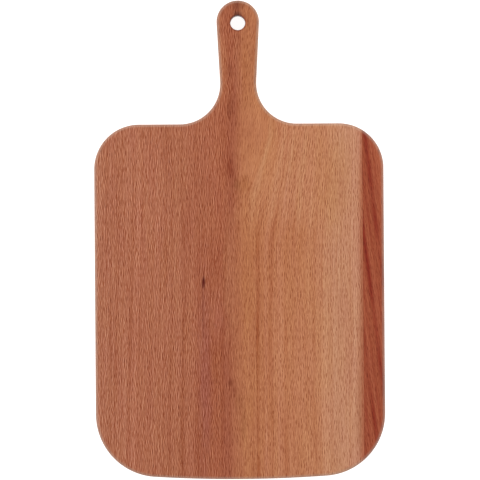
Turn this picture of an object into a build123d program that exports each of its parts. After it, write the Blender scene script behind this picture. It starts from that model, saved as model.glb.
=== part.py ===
from build123d import *

import math
import os

# Wooden serving board with a handle, glued up edge to edge from two pieces of solid beech.
# It lies on its underside, and all sizes are in millimetres. The origin is on the underside,
# below the middle of the whole length and width. +X goes to the right across the board,
# +Y goes up the handle, and +Z goes from the underside to the serving face.

# The blade, which is the wide part that food is served on
blade_length = 334.0  # from the shoulders to the lowest point of the bottom edge
blade_width = 272.0
board_thickness = 16.0
shoulder_corner_radius = 42.0
bottom_corner_radius = 59.0
bottom_edge_radius = 1220.0  # the bottom edge bows out gently between its corners

# The handle
handle_length = 116.0  # from the shoulders to the handle's end
handle_end_radius = 20.0
neck_width = 34.0  # where the handle is narrowest, next to the shoulders
neck_curve_radius = 38.0  # the hollow curve that leads from a shoulder into the handle

# The hanging hole
hanging_hole_diameter = 14.0
hanging_hole_to_end = 21.0  # from the hole's centre to the handle's end

# The rounded edges
outer_edge_radius = 3.0  # all round the outline, on the serving face and the underside
hole_rim_radius = 1.0

# The glued joint between the wide plank and the narrow strip on its right
side_strip_width = 20.0
glue_line_thickness = 0.2

handle_end_y = (blade_length + handle_length) / 2
shoulder_y = handle_end_y - handle_length
bottom_y = -handle_end_y
strip_face_x = blade_width / 2 - side_strip_width
plank_face_x = strip_face_x - glue_line_thickness


def right_half_outline():
    """The outline from the middle of the bottom edge, up the right side, to the handle's end."""
    # The bottom edge meets each bottom corner on the line that joins their two centres
    bottom_centre_y = bottom_y + bottom_edge_radius
    corner_x = blade_width / 2 - bottom_corner_radius
    corner_drop = math.sqrt((bottom_edge_radius - bottom_corner_radius) ** 2 - corner_x**2)
    corner_angle = math.degrees(math.atan2(-corner_drop, corner_x))

    # The side of the handle is a straight line that just touches the rounded end on its left
    # and the neck's curve on its right
    end_centre_y = handle_end_y - handle_end_radius
    neck_x = neck_width / 2 + neck_curve_radius
    neck_y = shoulder_y + neck_curve_radius
    centres_apart = math.hypot(neck_x, neck_y - end_centre_y)
    centres_angle = math.atan2(neck_y - end_centre_y, neck_x)
    touch_angle = math.degrees(
        centres_angle + math.acos((handle_end_radius + neck_curve_radius) / centres_apart)
    )

    with BuildLine() as outline:
        CenterArc((0, bottom_centre_y), bottom_edge_radius, -90, 90 + corner_angle)
        bottom_corner = CenterArc(
            (corner_x, bottom_centre_y - corner_drop), bottom_corner_radius, corner_angle, -corner_angle
        )
        shoulder_corner = CenterArc(
            (blade_width / 2 - shoulder_corner_radius, shoulder_y - shoulder_corner_radius),
            shoulder_corner_radius,
            0,
            90,
        )
        neck_curve = CenterArc((neck_x, neck_y), neck_curve_radius, -90, touch_angle - 90)
        handle_end = CenterArc((0, end_centre_y), handle_end_radius, touch_angle, 90 - touch_angle)
        Line(bottom_corner @ 1, shoulder_corner @ 0)
        Line(shoulder_corner @ 1, neck_curve @ 0)
        Line(neck_curve @ 1, handle_end @ 0)
    return outline.line


def board_blank():
    """The whole board as it is cut to shape after gluing, with its hole and rounded edges."""
    half = right_half_outline()
    outline = make_face(half.edges() + mirror(half, about=Plane.YZ).edges())
    blank = extrude(outline, amount=board_thickness)
    hole_y = handle_end_y - hanging_hole_to_end
    blank -= Pos(0, hole_y, board_thickness / 2) * Cylinder(hanging_hole_diameter / 2, board_thickness)

    faces = blank.faces().sort_by(Axis.Z)
    underside = faces[0]
    serving_face = faces[-1]
    outer_edges = underside.outer_wire().edges() + serving_face.outer_wire().edges()
    blank = fillet(outer_edges, outer_edge_radius)
    rims = blank.edges().filter_by(GeomType.CIRCLE).filter_by(
        lambda edge: edge.is_closed and math.isclose(edge.radius, hanging_hole_diameter / 2)
    )
    return fillet(rims, hole_rim_radius)


def left_of(solid, x):
    """What lies to the left of the upright plane that crosses the board at x."""
    return split(solid, bisect_by=Plane.YZ.offset(x), keep=Keep.BOTTOM)


def right_of(solid, x):
    """What lies to the right of the upright plane that crosses the board at x."""
    return split(solid, bisect_by=Plane.YZ.offset(x), keep=Keep.TOP)


board = board_blank()
pieces = {
    "main_plank": left_of(board, plank_face_x),
    "edge_glue_line": left_of(right_of(board, plank_face_x), strip_face_x),
    "side_strip": right_of(board, strip_face_x),
}

os.makedirs("parts", exist_ok=True)
for name, piece in pieces.items():
    export_step(piece, f"parts/{name}.step")
    size = piece.bounding_box().size
    print(f"{name}: {size.X:.2f} x {size.Y:.2f} x {size.Z:.2f} mm, volume {piece.volume:.0f} mm3")
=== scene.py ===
import math

import bmesh
import bpy
from mathutils import Matrix, Vector


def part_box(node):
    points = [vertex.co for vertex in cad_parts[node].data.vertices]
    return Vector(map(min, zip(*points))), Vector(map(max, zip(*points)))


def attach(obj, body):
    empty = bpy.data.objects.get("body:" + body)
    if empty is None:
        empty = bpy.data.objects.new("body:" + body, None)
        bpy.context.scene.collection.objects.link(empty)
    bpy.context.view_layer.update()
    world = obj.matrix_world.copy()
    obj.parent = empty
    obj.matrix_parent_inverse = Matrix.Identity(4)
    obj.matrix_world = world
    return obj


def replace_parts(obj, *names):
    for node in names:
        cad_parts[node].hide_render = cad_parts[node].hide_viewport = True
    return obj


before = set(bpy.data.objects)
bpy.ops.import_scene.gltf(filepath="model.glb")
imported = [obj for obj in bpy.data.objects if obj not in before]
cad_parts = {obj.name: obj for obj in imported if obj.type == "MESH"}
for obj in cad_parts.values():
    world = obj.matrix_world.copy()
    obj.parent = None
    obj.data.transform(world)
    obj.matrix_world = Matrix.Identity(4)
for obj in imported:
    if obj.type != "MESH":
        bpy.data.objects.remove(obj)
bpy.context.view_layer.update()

# The looks of a handled serving board: a wide plank of beech and a strip of redder beech, glued edge
# to edge, cut to shape, rounded over, sanded and oiled. Shapes are in metres, in the frame's axes: +X
# across the board towards the strip, +Y along it towards the handle's end, +Z up. Wood patterns are
# worked out in millimetres.

MM = 0.001
FULL_TURN = 2 * math.pi

# Sizes that the frame holds
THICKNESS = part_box("main_plank")[1].z
HALF_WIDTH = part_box("side_strip")[1].x
HALF_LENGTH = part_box("main_plank")[1].y
PLANK_FACE_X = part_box("main_plank")[1].x
STRIP_FACE_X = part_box("side_strip")[0].x

# The rest of the outline
HANDLE_LENGTH = 116 * MM
SHOULDER_Y = HALF_LENGTH - HANDLE_LENGTH
SHOULDER_RADIUS = 42 * MM
BOTTOM_RADIUS = 59 * MM
BOTTOM_EDGE_RADIUS = 1220 * MM
HANDLE_END_RADIUS = 20 * MM
NECK_WIDTH = 34 * MM
NECK_RADIUS = 38 * MM
HOLE_RADIUS = 7 * MM
HOLE_FROM_END = 21 * MM
HOLE_Y = HALF_LENGTH - HOLE_FROM_END
EDGE_RADIUS = 3 * MM
RIM_RADIUS = 1 * MM

HOLE_STEPS = 72  # straight pieces round the hole
EDGE_STEPS = 8  # strips over a rounded edge
RIM_STEPS = 4  # strips over the eased rim of the hole
BORDER = 0.4 * MM  # strip round each flat face, which keeps the rounding's shading off it
SAME_PLACE = 0.01 * MM  # points nearer than this are one point
WALL_SLOPE = 0.5  # a face whose normal rises less than this is a wall
CUT_FACE = 0.999  # a face whose normal has at least this much of X is one of the sawn, glued ones


def add_arc(bm, centre, radius, start, sweep, steps):
    """Adds an arc of so many straight steps at z = 0, and returns its first and last vertex. Angles are
    in radians."""
    x = centre[0] + radius * math.cos(start)
    y = centre[1] + radius * math.sin(start)
    first = bm.verts.new((x, y, 0))
    spun = bmesh.ops.spin(bm, geom=[first], cent=(*centre, 0), axis=(0, 0, 1), angle=sweep, steps=steps)
    return first, next(v for v in spun["geom_last"] if isinstance(v, bmesh.types.BMVert))


def add_right_half_outline(bm):
    """From the middle of the bottom edge, up the right side, to the middle of the handle's end."""
    quarter = FULL_TURN / 4
    # The bottom edge meets each bottom corner on the line that joins their two centres
    bottom_y = -HALF_LENGTH + BOTTOM_EDGE_RADIUS
    corner_x = HALF_WIDTH - BOTTOM_RADIUS
    corner_drop = math.sqrt((BOTTOM_EDGE_RADIUS - BOTTOM_RADIUS) ** 2 - corner_x**2)
    corner = math.atan2(-corner_drop, corner_x)
    # The handle's side is a straight line that touches the rounded end and the neck's curve
    end_y = HALF_LENGTH - HANDLE_END_RADIUS
    neck_x, neck_y = NECK_WIDTH / 2 + NECK_RADIUS, SHOULDER_Y + NECK_RADIUS
    apart = math.hypot(neck_x, neck_y - end_y)
    touch = math.atan2(neck_y - end_y, neck_x) + math.acos((HANDLE_END_RADIUS + NECK_RADIUS) / apart)
    shoulder = (HALF_WIDTH - SHOULDER_RADIUS, SHOULDER_Y - SHOULDER_RADIUS)
    arcs = [
        add_arc(bm, (0, bottom_y), BOTTOM_EDGE_RADIUS, -quarter, quarter + corner, steps=24),
        add_arc(bm, (corner_x, bottom_y - corner_drop), BOTTOM_RADIUS, corner, -corner, steps=48),
        add_arc(bm, shoulder, SHOULDER_RADIUS, 0, quarter, steps=40),
        add_arc(bm, (neck_x, neck_y), NECK_RADIUS, -quarter, touch - quarter, steps=40),
        add_arc(bm, (0, end_y), HANDLE_END_RADIUS, touch, quarter - touch, steps=36),
    ]
    for (_, end), (start, _) in zip(arcs, arcs[1:]):
        if (end.co - start.co).length > SAME_PLACE:
            bm.edges.new((end, start))


def flat_rim(bm, z, round_hole):
    """The edges between the flat face at height z and the wall, of the hanging hole or of the outside."""
    centre = Vector((0, HOLE_Y, z))
    return [
        e for e in bm.edges
        if all(abs(v.co.z - z) < SAME_PLACE for v in e.verts)
        and any(abs(f.normal.z) < WALL_SLOPE for f in e.link_faces)
        and ((e.verts[0].co - centre).length < 2 * HOLE_RADIUS) == round_hole
    ]


def round_over(bm, edges, radius, segments):
    bmesh.ops.bevel(
        bm, geom=edges, offset=radius, offset_type="OFFSET", segments=segments, profile=0.5,
        affect="EDGES", material=-1, clamp_overlap=False,
    )


def board_blank():
    """The whole board in one: the outline is filled, raised to its thickness and rounded over."""
    bm = bmesh.new()
    add_right_half_outline(bm)
    half = bm.verts[:] + bm.edges[:]
    bmesh.ops.mirror(bm, geom=half, matrix=Matrix.Identity(4), merge_dist=SAME_PLACE, axis="X")
    bmesh.ops.remove_doubles(bm, verts=bm.verts[:], dist=SAME_PLACE)
    at_hole = Matrix.Translation((0, HOLE_Y, 0))
    bmesh.ops.create_circle(bm, segments=HOLE_STEPS, radius=HOLE_RADIUS, matrix=at_hole)
    filled = bmesh.ops.triangle_fill(bm, edges=bm.edges[:], use_beauty=True)
    faces = [f for f in filled["geom"] if isinstance(f, bmesh.types.BMFace)]
    raised = bmesh.ops.extrude_face_region(bm, geom=faces, use_keep_orig=True)
    top = [v for v in raised["geom"] if isinstance(v, bmesh.types.BMVert)]
    bmesh.ops.translate(bm, verts=top, vec=(0, 0, THICKNESS))
    bmesh.ops.recalc_face_normals(bm, faces=bm.faces[:])
    for z in (0, THICKNESS):
        round_over(bm, flat_rim(bm, z, True), RIM_RADIUS, RIM_STEPS)
        round_over(bm, flat_rim(bm, z, False), EDGE_RADIUS, EDGE_STEPS)
        flat = [f for f in bm.faces if all(abs(v.co.z - z) < SAME_PLACE for v in f.verts)]
        bmesh.ops.inset_region(
            bm, faces=flat, thickness=BORDER, use_boundary=True, use_even_offset=True
        )
    bmesh.ops.recalc_face_normals(bm, faces=bm.faces[:])
    return bm


def cut_piece(name, blank, low_x, high_x, material):
    """One piece of the board: what of the blank lies between two upright planes, of which one can be
    None for no cut."""
    bm = blank.copy()
    for x, clear_outer in ((low_x, False), (high_x, True)):
        if x is None:
            continue
        cut = bmesh.ops.bisect_plane(
            bm, geom=bm.verts[:] + bm.edges[:] + bm.faces[:], dist=SAME_PLACE / 10, plane_co=(x, 0, 0),
            plane_no=(1, 0, 0), clear_outer=clear_outer, clear_inner=not clear_outer,
        )
        rim = [e for e in cut["geom_cut"] if isinstance(e, bmesh.types.BMEdge)]
        bmesh.ops.holes_fill(bm, edges=rim, sides=0)
    bmesh.ops.recalc_face_normals(bm, faces=bm.faces[:])
    # The glued faces are flat and sharp-edged. All the rest is smooth
    for face in bm.faces:
        at_side = abs(face.calc_center_median().x) > STRIP_FACE_X + MM
        face.smooth = at_side or abs(face.normal.x) < CUT_FACE
    for edge in bm.edges:
        edge.smooth = all(face.smooth for face in edge.link_faces)
    mesh = bpy.data.meshes.new(name)
    bm.to_mesh(mesh)
    bm.free()
    piece = bpy.data.objects.new(name, mesh)
    bpy.context.scene.collection.objects.link(piece)
    mesh.materials.append(material)
    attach(piece, "root")
    return piece


def linear(colour):
    """An sRGB hex colour such as "c08040" as linear red, green, blue and alpha."""
    shares = [int(colour[i : i + 2], 16) / 255 for i in (0, 2, 4)]
    return (*[s / 12.92 if s <= 0.04045 else ((s + 0.055) / 1.055) ** 2.4 for s in shares], 1)


def add(tree, kind, *values, out=0, **named):
    """Adds a shader node and returns one of its outputs. Values fill its sockets in order. A name with
    a capital letter fills the socket of that name, and any other name is a setting of the node."""
    node = tree.nodes.new("ShaderNode" + kind)
    for name, value in named.items():
        if name[0].islower():
            setattr(node, name, value)
    filled = list(zip([s for s in node.inputs if s.enabled], values))
    filled += [(node.inputs[n.replace("_", " ")], v) for n, v in named.items() if n[0].isupper()]
    for socket, value in filled:
        if isinstance(value, bpy.types.NodeSocket):
            tree.links.new(value, socket)
        elif value is not None:
            socket.default_value = value
    return node.outputs[out] if isinstance(out, str) else [s for s in node.outputs if s.enabled][out]


# Where things lie in the wood, in millimetres. "Across" is a place in the wood. It is about
# the same as on the board below its middle. Further up the grain bends, and "across" bends with it.

# Lines that the grain of the wide plank follows: the place across, then two places on the board, each
# across and along, that the line passes through. Beyond those it runs straight up and down the board
PLANK_LINES = [
    (-97, (-101, -200), (-93, 40)),  # pale stripe far left
    (-65, (-67.5, -180), (-63, 70)),
    (-36, (-37.5, -212), (-36, -60)),  # dark stripe in the red heart
    (-12, (-17, -60), (-2, 190)),  # the heart's border
    (2, (2, -60), (5, 190)),  # golden wood beside it
    (5, (5, 38), (26, 98)),  # leaves to the right above the knot
    (17, (18, 10), (38, 97)),  # dark stripe in the golden wood
    (39, (36.8, -10), (52, 100)),  # pale band right of it
]
PLANK_SIDES = (-150, 118)  # from the outer lines to these, the bends fade out
HEART_EDGE = -8  # the red heartwood's border, across
HEART_FADE = 6  # it is soft by this much to each side
STRIP_SLANT = -0.125  # the strip's grain leans to the left as it rises, one in eight
STRIP_TILT = 0.8  # its growth rings shift this far sideways for each millimetre of depth
PITH_DEPTH = 210  # the log's centre lay this far below the board, so its rings cross it as gentle arches
RAY_DEPTH = 26  # a ray reaches further down than the board is thick
FACE_HEIGHT = THICKNESS / MM

# The colour across each plank. The wide one has red heartwood on the left of its middle, golden wood
# beside it, and paler wood to the right
PLANK_TONES = [
    (-136, "d4997c"),
    (-95, "d6987a"),
    (-60, "d29474"),
    (-40, "ce8c6d"),
    (-16, "cb8564"),
    (-8, "bc7557"),
    (5, "d19165"),
    (30, "d99d75"),
    (75, "dca37a"),
    (92, "deac88"),
    (112, "daa483"),
    (115, "cb8464"),
]
STRIP_TONES = [(85, "b46344"), (116, "b56344"), (132, "b66444"), (142, "c06e4d"), (150, "c06e4d")]

# Darker stripes of late wood: place across, half width and strength
PLANK_STRIPES = [
    (-121, 1.9, 0.36),
    (-115.8, 1.8, 0.38),
    (-109.8, 1.8, 0.30),
    (-102.2, 2.2, 0.30),
    (-93.6, 1.8, 0.22),
    (-83.2, 2.2, 0.18),
    (-70, 2.6, 0.32),
    (-64.2, 2.4, 0.40),
    (-53, 2.4, 0.40),
    (-38.2, 1.8, 0.32),
    (-34.5, 2.0, 0.26),
    (-26, 2.0, 0.26),
    (-18.5, 2.2, 0.24),
    (-12, 2.8, 0.34),
    (10.8, 3.2, 0.24),
    (16.0, 3.0, 0.60),
    (30.9, 2.8, 0.38),
    (45.3, 3.6, 0.36),
    (58.6, 2.2, 0.16),
    (71.3, 3.2, 0.28),
]
STRIP_STRIPES = [
    (78.5, 3.2, 0.8),
    (85, 1.6, 0.45),
    (91.5, 3.2, 0.8),
    (98, 1.6, 0.45),
    (104.8, 3.6, 0.9),
    (110.5, 1.6, 0.5),
    (117.6, 3.6, 0.9),
    (124, 1.6, 0.5),
    (130.6, 4.2, 1.15),
    (136, 1.4, 0.4),
    (147.5, 2.0, 0.6),
]

# Paler stripes of early wood, the same way
PLANK_PALE = [
    (-96.8, 2.4, 0.26),
    (-76.5, 4.0, 0.08),
    (-58.3, 3.4, 0.15),
    (-46, 4.5, 0.13),
    (24.5, 2.8, 0.20),
    (38.6, 3.0, 0.20),
]

# Single marks, by their place on the board: across, along, half width, half length, depth below the
# serving face, colour and strength
PLANK_MARKS = [
    (-9, -32, 11, 80, 30, "dca077", 0.50),  # paler middle of the heart's border
    (-33, -130, 9, 130, 30, "b87478", 0.32),  # purple tinge in the lower part of the heart
    (-23, -70, 11, 38, 30, "d9987f", 0.45),  # paler patch right of the streak
    (-33.8, -39.0, 2.6, 8.5, 3, "6a1200", 1.0),  # mineral streak
    (-34.2, -66, 1.8, 34, 3, "8a4030", 0.35),  # its tail
    (-8.5, 68, 4.5, 17, 30, "9a4626", 0.60),  # red streak above the knot
    (-5.5, 61, 3.2, 9.0, 30, "964a28", 0.35),  # pin knot
    (-2.0, 51, 6.0, 9, 30, "9c6238", 0.45),  # shadow beside it
    (6, 52, 7.5, 14, 30, "b06c38", 0.45),
    (-3, 25, 5, 13, 30, "dca077", 0.40),  # the border of the heart steps back below the knot
    (9, 94, 16, 44, 30, "b0683f", 0.30),  # browner wood between the knot and the handle
    (-9.5, -134, 3.6, 6.0, 30, "8c4426", 0.65),  # lower pin knot
    (-6, -141, 4.5, 12, 30, "9c5232", 0.45),
    (-2, -152, 6.0, 14, 30, "a86a40", 0.35),  # shadow below it
    (3, -172, 4.0, 24, 30, "a86a40", 0.40),
    (-8, 124, 5.0, 19, 16, "8a3f26", 0.35),  # dark streaks that run up into the handle
    (-8, 160, 4.5, 13, 16, "8a3f26", 0.32),
    (0, 221, 12, 9, 16, "7c3d22", 0.45),  # darker end of the handle
    (-17, 165, 9.0, 52, 30, "dca078", 0.60),  # paler side of the handle
    (9, 162, 8, 50, 30, "b0703f", 0.20),  # browner side of the handle
    (-1.5, 172, 5, 48, 30, "dca077", 0.28),  # paler border of the heart in the handle
    (90, 50, 22, 66, 30, "c98b50", 0.35),  # golden patch
    (111, -172, 5, 62, 30, "b87c5c", 0.45),  # darker wood beside the joint
    (114, -70, 5, 150, 30, "b87c5c", 0.35),
    (0, 212.5, 6.5, 4, 30, "5a3a34", 0.55),  # painted shade on the upper rim and wall of the hole
]

# How much the golden wood darkens along the board, as colours that multiply it: a paler fan of grain runs
# out to the upper right, and ends at about y = 20 in ragged tips
GOLDEN_SHADES = [
    (-225, "fdf9f6"),
    (-180, "faf2ec"),
    (-120, "fcf6f2"),
    (-45, "f8efe7"),
    (-4, "f8efe7"),
    (16, "ffffff"),
]
GOLDEN_SIDES = [(6, 22), (62, 82)]  # across: where the golden wood begins, and where it ends
TIPS = 26  # length of the ragged tips
FAN_BEGINS = (-5, 40)  # along
FAN_ENDS = (95, 125)  # along, where the handle begins
STRIPES_FADE = (30, -10)  # along: from the fan down to here, stripes grow to their full strength

# In the fan the fibres lean to the right, by 7 degrees, which is less than the stripes do. The lean begins
# and ends between these places on the board, across, and begins between these along
FIBRE_LEAN = 0.12
LEAN_BEGINS = (-5, 15)
LEAN_ENDS = (60, 85)
LEAN_RISES = (0, 35)

# Paler bands in that fan: place across, half width and strength
PALE_BANDS = [(9.6, 5.0, 0.14), (25, 4.0, 0.12), (39, 4.0, 0.12), (53, 4.5, 0.12)]

# Flecks and ripples are fainter in an oval between the knot and the handle: its middle and half sizes on
# the board
CALM_MIDDLE = (18, 88, 0)
CALM_HALVES = (24, 55)
PALE_SIDE = (72, 92)  # and fainter beyond here, across

# Ray flecks in two sizes: the cell that holds one, across and along, the fleck's width and length, a
# shift that keeps the two sizes apart, and strength. Rays are 0.1 to 0.3 mm wide, which is too fine to
# show from here, so they are drawn 0.6 to 0.7 mm wide
COARSE_FLECKS = ((2.4, 7.2), 0.72, 6.2, 0.0, 0.94)
FINE_FLECKS = ((1.8, 5.4), 0.60, 4.4, 7.3, 0.60)

# The ripple of fibres between the flecks: spacing and length. Real fibres are far finer, and are drawn
# as coarse as they need to show from here
RIPPLE_SPACING = 2.0
RIPPLE_LENGTH = 4.4

PALER = "e8ac8e"  # the colour of pale stripes
FAN_PALER = "eccc9c"  # the same in the fan
DARKER = "cf9a58"  # what dark grain multiplies the wood by: red fades least and blue most
STRIP_DARKER = "d07868"  # the same in the strip
FLECK = "b57427"  # the same for the ray flecks
PINKER = "faf0ff"  # the same for the drift of hue
PAINTED_EDGE_SHEEN = "b8a490"  # painted sheen on a rounded edge
PAINTED_EDGE_SHADE = "7a6656"  # painted shade where a rounded edge turns down


def board_place(tree):
    """The place on the board, in millimetres."""
    metres = add(tree, "TexCoord", out="Object")
    return add(tree, "VectorMath", metres, (1 / MM, 1 / MM, 1 / MM), operation="MULTIPLY")


def patches(tree, place, across, along, up, low, high, detail=2.0):
    """Patches about that many millimetres across the grain, along it and up. 0 where the cloud is below
    low, 1 where it is above high."""
    scaled = add(tree, "VectorMath", place, (1 / across, 1 / along, 1 / up), operation="MULTIPLY")
    cloud = add(tree, "TexNoise", scaled, Scale=1.0, Detail=detail, Roughness=0.5)
    return add(tree, "MapRange", cloud, low, high, 0, 1)


def plank_grain(tree, place):
    """The place in the wide plank's wood, and how far its grain leans to the right as it rises."""
    x, y, z = (add(tree, "SeparateXYZ", place, out=axis) for axis in "XYZ")
    posts = [add(tree, "MapRange", y, low[1], high[1], low[0], high[0]) for _, low, high in PLANK_LINES]
    posts = [PLANK_SIDES[0], *posts, PLANK_SIDES[1]]
    across = x
    for before, post, after, (home, _, _) in zip(posts, posts[1:], posts[2:], PLANK_LINES):
        near = add(tree, "MapRange", x, before, post, 0, 1)
        near = add(tree, "Math", near, add(tree, "MapRange", x, post, after, 1, 0), operation="MULTIPLY")
        shift = add(tree, "Math", home, post, operation="SUBTRACT")
        across = add(tree, "Math", shift, near, across, operation="MULTIPLY_ADD")
    lean = add(tree, "MapRange", x, *LEAN_BEGINS, 0, FIBRE_LEAN)
    lean = add(tree, "Math", lean, add(tree, "MapRange", x, *LEAN_ENDS, 1, 0), operation="MULTIPLY")
    lean = add(tree, "Math", lean, add(tree, "MapRange", y, *LEAN_RISES, 0, 1), operation="MULTIPLY")
    return across, y, z, lean


def strip_grain(tree, place):
    """The place in the strip's wood, and how far its grain leans to the right as it rises."""
    x, y, z = (add(tree, "SeparateXYZ", place, out=axis) for axis in "XYZ")
    across = add(tree, "Math", y, -STRIP_SLANT, x, operation="MULTIPLY_ADD")
    down = add(tree, "Math", z, FACE_HEIGHT, operation="SUBTRACT")
    return add(tree, "Math", down, STRIP_TILT, across, operation="MULTIPLY_ADD"), y, z, STRIP_SLANT


def tone(tree, across, stops):
    """The slow change of colour across a plank, or along it."""
    first, last = stops[0][0], stops[-1][0]
    ramp = add(tree, "ValToRGB", add(tree, "MapRange", across, first, last, 0, 1), out="Color")
    elements = ramp.node.color_ramp.elements
    while len(elements) < len(stops):
        elements.new(0.5)
    for element, (place, colour) in zip(elements, stops):
        element.position = (place - first) / (last - first)
        element.color = linear(colour)
    return ramp


def darkened(tree, colour, mask, strength, by=DARKER):
    """The colour with darker grain where the mask is 1."""
    amount = add(tree, "Math", mask, strength, operation="MULTIPLY")
    return add(tree, "Mix", amount, colour, linear(by), data_type="RGBA", blend_type="MULTIPLY")


def near_line(tree, across, home, half_width, strength):
    """The strength on the grain line at home, down to 0 at half a width from it."""
    off = add(tree, "Math", across, home, operation="SUBTRACT")
    off = add(tree, "Math", off, operation="ABSOLUTE")
    return add(tree, "MapRange", off, half_width, 0, 0, strength, interpolation_type="SMOOTHSTEP")


def ripples(tree, place, lean):
    """Short lines along the grain. 0 in pale ones, 1 in dark ones."""
    lines = 1.2  # about that many lie side by side before the pattern changes
    width = lines * RIPPLE_SPACING
    tilt = add(tree, "Math", lean, -RIPPLE_LENGTH / width, operation="MULTIPLY")
    across = add(tree, "CombineXYZ", 1.0, tilt, 0.0)
    shares = (1 / width, 1 / RIPPLE_LENGTH, 1 / RAY_DEPTH)
    scaled = add(tree, "VectorMath", place, shares, operation="MULTIPLY")
    wave = add(tree, "TexGabor", scaled, 1.0, lines, 1.0, across, gabor_type="3D")
    return add(tree, "MapRange", wave, 0.3, 0.7, 0, 1)


def flecks(tree, place, lean, cell, width, length, shift):
    """One short dash in each cell, some darker than others. Up to 1 in the middle of a dash."""
    across, along = cell
    scaled = add(tree, "VectorMath", place, (shift, shift, shift), operation="ADD")
    shares = (1 / across, 1 / along, 1 / RAY_DEPTH)
    scaled = add(tree, "VectorMath", scaled, shares, operation="MULTIPLY")
    centre = add(tree, "TexVoronoi", scaled, Scale=1.0, Randomness=0.85, out="Position")
    shade = add(tree, "SeparateColor", centre.node.outputs["Color"])
    away = add(tree, "VectorMath", scaled, centre, operation="SUBTRACT")
    away = add(tree, "VectorMath", away, (across, along, RAY_DEPTH), operation="MULTIPLY")
    x, y, z = (add(tree, "SeparateXYZ", away, out=axis) for axis in "XYZ")
    straight = add(tree, "Math", y, lean, operation="MULTIPLY")
    straight = add(tree, "Math", x, straight, operation="SUBTRACT")
    away = add(tree, "CombineXYZ", straight, y, z)
    shares = (2 / width, 2 / length, 1 / RAY_DEPTH)
    away = add(tree, "VectorMath", away, shares, operation="MULTIPLY")
    away = add(tree, "VectorMath", away, operation="LENGTH", out="Value")
    dash = add(tree, "MapRange", away, 1.0, 0.6, 0, 1, interpolation_type="SMOOTHSTEP")
    shade = add(tree, "MapRange", shade, 0, 1, 0.25, 1)
    return add(tree, "Math", dash, shade, operation="MULTIPLY")


def growth_rings(tree, colour, across, along, up, end):
    """Rings 2 to 4 mm apart round the log's centre: faint stripes on the faces, arches on the ends."""
    height = add(tree, "Math", up, PITH_DEPTH, operation="ADD")
    radius = add(tree, "CombineXYZ", across, height, 0)
    radius = add(tree, "VectorMath", radius, operation="LENGTH", out="Value")
    turned = add(tree, "CombineXYZ", radius, along, 0)
    strength = add(tree, "MapRange", end, 0, 1, 0.15, 0.7)
    return darkened(tree, colour, patches(tree, turned, 2.8, 160, 1, 0.45, 0.7), strength)


def golden_wood(tree, colour, across, along, grain):
    """Shades the golden wood below the fan and draws the fan's pale bands. Also returns how strongly
    stripes show: less in the fan."""
    tips = patches(tree, grain, 5, 80, 5, 0.3, 0.7)
    tips = add(tree, "Math", tips, -TIPS, along, operation="MULTIPLY_ADD")
    (rise, full), (fade, gone) = GOLDEN_SIDES
    inside = add(tree, "MapRange", across, rise, full, 0, 1)
    ending = add(tree, "MapRange", across, fade, gone, 1, 0)
    inside = add(tree, "Math", inside, ending, operation="MULTIPLY")
    shade = tone(tree, tips, GOLDEN_SHADES)
    colour = add(tree, "Mix", inside, colour, shade, data_type="RGBA", blend_type="MULTIPLY")
    fan = add(tree, "MapRange", tips, *FAN_BEGINS, 0, 1)
    ending = add(tree, "MapRange", along, *FAN_ENDS, 1, 0)
    fan = add(tree, "Math", fan, ending, operation="MULTIPLY")
    for home, half_width, strength in PALE_BANDS:
        near = near_line(tree, across, home, half_width, strength)
        near = add(tree, "Math", near, fan, operation="MULTIPLY")
        colour = add(tree, "Mix", near, colour, linear(FAN_PALER), data_type="RGBA")
    return colour, add(tree, "MapRange", tips, *STRIPES_FADE, 0.3, 1)


def single_marks(tree, colour, place, marks):
    """Knots, streaks, tinges and a painted shade at the hole: ovals with a slightly ragged, soft edge."""
    ragged = add(tree, "MapRange", patches(tree, place, 4, 14, 8, 0.3, 0.7), 0, 1, 0.75, 1.25)
    for x, y, half_width, half_length, depth, dye, strength in marks:
        away = add(tree, "VectorMath", place, (x, y, FACE_HEIGHT), operation="SUBTRACT")
        shares = (1 / half_width, 1 / half_length, 1 / depth)
        away = add(tree, "VectorMath", away, shares, operation="MULTIPLY")
        away = add(tree, "VectorMath", away, operation="LENGTH", out="Value")
        away = add(tree, "Math", away, ragged, operation="MULTIPLY")
        near = add(tree, "MapRange", away, 1.0, 0.1, 0, strength, interpolation_type="SMOOTHSTEP")
        colour = add(tree, "Mix", near, colour, linear(dye), data_type="RGBA")
    return colour


def rays_show(tree, place, across, level):
    """How clearly the ends of rays show, from 0 to 1. They end on the flat faces. On the sides they lie
    in the surface. They are fainter in the oval above the knot, and in the pale wood to the right."""
    clear = add(tree, "MapRange", level, 0.3, 0.8, 0.15, 1)
    calm = add(tree, "VectorMath", place, CALM_MIDDLE, operation="SUBTRACT")
    calm = add(tree, "VectorMath", calm, (1 / CALM_HALVES[0], 1 / CALM_HALVES[1], 0), operation="MULTIPLY")
    calm = add(tree, "VectorMath", calm, operation="LENGTH", out="Value")
    calm = add(tree, "MapRange", calm, 0.5, 1, 0.65, 1)
    clear = add(tree, "Math", clear, calm, operation="MULTIPLY")
    pale_side = add(tree, "MapRange", across, *PALE_SIDE, 1, 0.86)
    return add(tree, "Math", clear, pale_side, operation="MULTIPLY")


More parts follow.
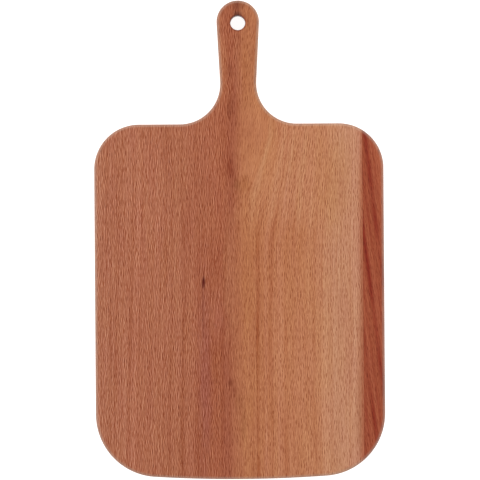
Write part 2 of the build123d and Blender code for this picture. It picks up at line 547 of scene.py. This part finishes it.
def painted_edge_sheen_and_shade(tree, colour, place, normal, level):
    """Painted light on the rounded edges: a pale painted sheen over them, and a brownish grey painted
    shade where they turn down. The hole's wall is rough end grain, dark in its own right and darkened more
    by painted shade."""
    from_hole = add(tree, "VectorMath", place, (0, HOLE_Y / MM, 0), operation="SUBTRACT")
    from_hole = add(tree, "VectorMath", from_hole, (1, 1, 0), operation="MULTIPLY")
    from_hole = add(tree, "VectorMath", from_hole, operation="LENGTH", out="Value")
    bore = HOLE_RADIUS / MM
    rounded = add(tree, "MapRange", from_hole, bore + 2, bore + 4, 0, 1)
    above_wall = add(tree, "MapRange", level, 0.1, 0.5, 0, 1)
    rounded = add(tree, "Math", rounded, above_wall, operation="MULTIPLY")
    slant = add(tree, "VectorMath", normal, (1, 1, 0), operation="MULTIPLY")
    slant = add(tree, "VectorMath", slant, operation="LENGTH", out="Value")
    # A pale painted sheen over the rounding, then painted shade where it turns down
    for begins, full, dye, strength in ((0.0, 0.45, PAINTED_EDGE_SHEEN, 0.24), (0.4, 0.85, PAINTED_EDGE_SHADE, 0.42)):
        painted_light = add(tree, "MapRange", slant, begins, full, 0, strength)
        painted_light = add(tree, "Math", painted_light, rounded, operation="MULTIPLY")
        colour = add(tree, "Mix", painted_light, colour, linear(dye), data_type="RGBA")
    # The hole's wall: end grain, which is darker, with painted shade on top of that
    wall = add(tree, "MapRange", from_hole, bore + 1.8, bore + 0.2, 0, 1)
    return darkened(tree, colour, wall, 0.8, FLECK)


# Beech: brown-pink, close-grained wood with a short dark fleck wherever a ray ends at the surface. It is
# planed, sanded and oiled, so the colour is deep and even, and the surface is satin: it shows no single
# reflection. The pattern is solid: fibres run along the board, rings arch across its ends and rays rise
# from below
def wood(name, grain_of, *, tones, stripes, pale, darker, marks, golden, fleck_strength):
    """The material of one plank. Its pattern is laid on from broad to fine."""
    material = bpy.data.materials.new(name)
    material.use_nodes = True
    tree = material.node_tree
    tree.nodes.clear()
    place = board_place(tree)
    across, along, up, lean = grain_of(tree, place)
    # Stripes wander by up to 1 mm to each side
    sway = patches(tree, place, 50, 160, 40, 0.2, 0.8)
    sway = add(tree, "Math", sway, 0.5, operation="SUBTRACT")
    across = add(tree, "Math", sway, 2.0, across, operation="MULTIPLY_ADD")
    grain = add(tree, "CombineXYZ", across, along, up)

    normal = add(tree, "NewGeometry", out="Normal")
    facing, level = (add(tree, "SeparateXYZ", normal, out=axis) for axis in "YZ")
    end = add(tree, "Math", facing, 4.0, operation="POWER")  # 1 on the ends of the wood
    level = add(tree, "Math", level, operation="ABSOLUTE")  # 1 on the flat faces

    colour = tone(tree, across, tones)
    colour = growth_rings(tree, colour, across, along, up, end)
    patchy = patches(tree, grain, 14, 60, 14, 0.25, 0.6)
    if golden:
        colour, below_fan = golden_wood(tree, colour, across, along, grain)
        patchy = add(tree, "Math", patchy, below_fan, operation="MULTIPLY")
    for home, half_width, strength in stripes:
        near = near_line(tree, across, home, half_width, strength)
        colour = darkened(tree, colour, near, patchy, darker)
    for home, half_width, strength in pale:
        near = near_line(tree, across, home, half_width, strength)
        colour = add(tree, "Mix", near, colour, linear(PALER), data_type="RGBA")
    if marks:
        colour = single_marks(tree, colour, place, marks)
    # The hue drifts a little between yellow and pink
    colour = darkened(tree, colour, patches(tree, grain, 9, 45, 9, 0.35, 0.65), 0.4, PINKER)

    # Streaks and fibres, from broad and faint to fine: width, length and strength
    for size, length, strength in ((9, 300, 0.06), (3.2, 220, 0.12), (1.1, 130, 0.30)):
        colour = darkened(tree, colour, patches(tree, grain, size, length, size, 0.35, 0.7), strength)
    fibre = patches(tree, grain, 0.7, 12, 0.7, 0.36, 0.64, detail=0.0)
    clear = rays_show(tree, place, across, level)
    # Rays that lie in the sides darken them evenly. Part of this darkening is painted shade that tones
    # down the glowing table's light on the sides
    side_rays_and_shade = add(tree, "MapRange", level, 0.3, 0.8, 1, 0)
    colour = darkened(tree, colour, side_rays_and_shade, 0.3, FLECK)
    colour = darkened(tree, colour, fibre, add(tree, "Math", clear, 0.18, operation="MULTIPLY"), FLECK)

    # The red heart's surface is more rippled than the wood on its right
    wavy = add(tree, "MapRange", across, HEART_EDGE - HEART_FADE, HEART_EDGE + HEART_FADE, 0.84, 0.42)
    wavy = add(tree, "Math", wavy, clear, operation="MULTIPLY")
    colour = darkened(tree, colour, ripples(tree, place, lean), wavy, FLECK)

    coarse, fine = (flecks(tree, place, lean, *sizes[:-1]) for sizes in (COARSE_FLECKS, FINE_FLECKS))
    for mask, strength in ((coarse, COARSE_FLECKS[-1]), (fine, FINE_FLECKS[-1])):
        amount = add(tree, "Math", clear, strength * fleck_strength, operation="MULTIPLY")
        colour = darkened(tree, colour, mask, amount, FLECK)
    # Painted sheen and painted shade on the rounded edges, and painted shade in the hole
    colour = painted_edge_sheen_and_shade(tree, colour, place, normal, level)
    colour = darkened(tree, colour, end, 0.3)

    # The surface: fibres stand up by hundredths of a millimetre, and flecks lie as much lower
    relief = add(tree, "Math", coarse, -0.6, fibre, operation="MULTIPLY_ADD")
    bump = add(tree, "Bump", Strength=0.3, Distance=0.05 * MM, Height=relief)
    rough = add(tree, "MapRange", fibre, 0, 1, 0.44, 0.54)
    shader = add(tree, "BsdfPrincipled", Base_Color=colour, Roughness=rough, IOR=1.45, Normal=bump)
    shader.node.inputs["Specular IOR Level"].default_value = 0.35
    tree.links.new(shader, tree.nodes.new("ShaderNodeOutputMaterial").inputs["Surface"])
    return material


# Cured wood glue, sanded flush with the wood: a dull amber-brown film, seen as a hairline in the face
def glue(name):
    material = bpy.data.materials.new(name)
    material.use_nodes = True
    tree = material.node_tree
    tree.nodes.clear()
    place = board_place(tree)
    cloud = patches(tree, place, 1.5, 6, 1.5, 0.2, 0.8)
    colour = add(tree, "Mix", cloud, linear("7a3a22"), linear("9a5a38"), data_type="RGBA")
    rough = add(tree, "MapRange", cloud, 0, 1, 0.45, 0.6)
    shader = add(tree, "BsdfPrincipled", Base_Color=colour, Roughness=rough, IOR=1.46)
    tree.links.new(shader, tree.nodes.new("ShaderNodeOutputMaterial").inputs["Surface"])
    return material


# Matt white acrylic, lit softly from below, as on a light table: even and nearly white by its own glow,
# so that no shadow shows on it
def light_table_top(name):
    material = bpy.data.materials.new(name)
    material.use_nodes = True
    shader = material.node_tree.nodes["Principled BSDF"]
    shader.inputs["Base Color"].default_value = linear("b4b4b4")
    shader.inputs["Roughness"].default_value = 0.9
    shader.inputs["Emission Color"].default_value = (1, 1, 1, 1)
    shader.inputs["Emission Strength"].default_value = 0.95
    return material


def link(name, data):
    found = bpy.data.objects.new(name, data)
    bpy.context.scene.collection.objects.link(found)
    return found


TABLE_REACH = 6  # metres from its middle to each side
LAMP_AWAY = 1.6
LAMP_HEIGHT = 0.95
LAMP_LENGTH = 2.4
LAMP_WIDTH = 0.8


def studio():
    """A light tent: a white table that glows a little, pale surroundings, and a soft lamp on each side."""
    bm = bmesh.new()
    bmesh.ops.create_grid(bm, x_segments=1, y_segments=1, size=TABLE_REACH)
    mesh = bpy.data.meshes.new("light table")
    bm.to_mesh(mesh)
    bm.free()
    floor = link("light_table", mesh)
    mesh.materials.append(light_table_top("matt white acrylic, lit from below"))

    # Bright all round near the horizon, and dim overhead
    world = bpy.data.worlds.new("pale surroundings")
    world.use_nodes = True
    tree = world.node_tree
    rise = add(tree, "SeparateXYZ", add(tree, "TexCoord", out="Generated"), out="Z")
    strength = add(tree, "MapRange", rise, 0.1, 1.0, 1.0, 0.1)
    tree.links.new(strength, tree.nodes["Background"].inputs["Strength"])
    tree.nodes["Background"].inputs["Color"].default_value = (1, 1, 1, 1)
    bpy.context.scene.world = world

    # The photograph's light is strongest from the upper left: the rounded edges are palest there
    for side, x, y, watts in (
        ("left", -1, 0, 16),
        ("top", 0, 1, 16),
        ("right", 1, 0, 11),
        ("bottom", 0, -1, 5),
    ):
        lamp = bpy.data.lights.new(side + " lamp", "AREA")
        lamp.shape = "RECTANGLE"
        lamp.size = LAMP_LENGTH
        lamp.size_y = LAMP_WIDTH
        lamp.energy = watts
        held = link(side + "_lamp", lamp)
        held.location = (x * LAMP_AWAY, y * LAMP_AWAY, LAMP_HEIGHT)
        held.rotation_euler = (-held.location).to_track_quat("-Z", "Y").to_euler()


CAMERA_HEIGHT = 2.5  # above the serving face
CAMERA_LEAN = 0.0072  # radians: the handle leans a hair to the left in the photograph
PICTURE_SIDE = 480  # pixels
PIXEL = 0.9388 * MM  # what a pixel spans on the serving face, which makes the outline fit the photograph's
PICTURE_MIDDLE = (0.66 * MM, -0.18 * MM)  # the place on the board in the middle of the picture
SENSOR = 36  # millimetres, as the lens


def camera():
    """Straight above the board, as in the photograph."""
    data = bpy.data.cameras.new("camera")
    data.sensor_width = SENSOR
    data.lens = SENSOR * CAMERA_HEIGHT / (PICTURE_SIDE * PIXEL)
    held = link("camera", data)
    held.location = (*PICTURE_MIDDLE, THICKNESS + CAMERA_HEIGHT)
    held.rotation_euler = (0, 0, -CAMERA_LEAN)
    bpy.context.scene.camera = held


def dress():
    blank = board_blank()
    beech = wood(
        "oiled beech, flat-sawn", plank_grain, tones=PLANK_TONES, stripes=PLANK_STRIPES, pale=PLANK_PALE,
        darker=DARKER, marks=PLANK_MARKS, golden=True, fleck_strength=1.0,
    )
    red_beech = wood(
        "oiled red-heart beech", strip_grain, tones=STRIP_TONES, stripes=STRIP_STRIPES, pale=[],
        darker=STRIP_DARKER, marks=[], golden=False, fleck_strength=1.05,
    )
    film = glue("cured wood glue")
    for name, low, high, material, slot, node in (
        ("beech_plank", None, PLANK_FACE_X, beech, "oiled_beech", "main_plank"),
        ("glue_film", PLANK_FACE_X, STRIP_FACE_X, film, "wood_glue", "edge_glue_line"),
        ("red_beech_strip", STRIP_FACE_X, None, red_beech, "oiled_red_beech", "side_strip"),
    ):
        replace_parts(cut_piece(name, blank, low, high, material), node)
    blank.free()


dress()
studio()
camera()
bpy.context.scene.view_settings.view_transform = "Standard"
